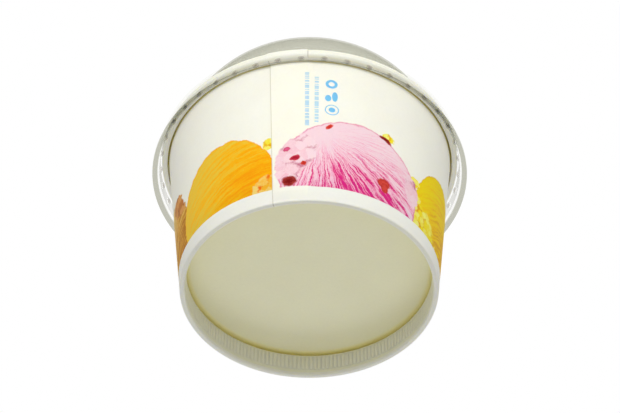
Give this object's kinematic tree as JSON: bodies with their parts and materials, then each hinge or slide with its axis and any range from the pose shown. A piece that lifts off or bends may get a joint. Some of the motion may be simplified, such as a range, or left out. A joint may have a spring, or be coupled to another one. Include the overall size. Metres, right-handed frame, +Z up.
{
  "type": "ice cream cup",
  "caption": "Small round paper ice cream cup with a rolled rim, a recessed bottom and a clear plastic dome lid pressed on.",
  "frame": {"origin": "middle of the foot, on the surface that the cup stands on", "axes": "+Z up through the middle of the cup, -Y towards the front, where the side seam is"},
  "size_m": [0.078, 0.0782, 0.07],
  "materials": {
    "paper_wall": "coated board, satin",
    "paper_bottom": "coated board, satin",
    "clear_film": "clear formed plastic film, gloss"
  },
  "bodies": {
    "root": {"cup_wall": "paper_wall", "cup_bottom": "paper_bottom", "lid": "clear_film"}
  },
  "joints": []
}
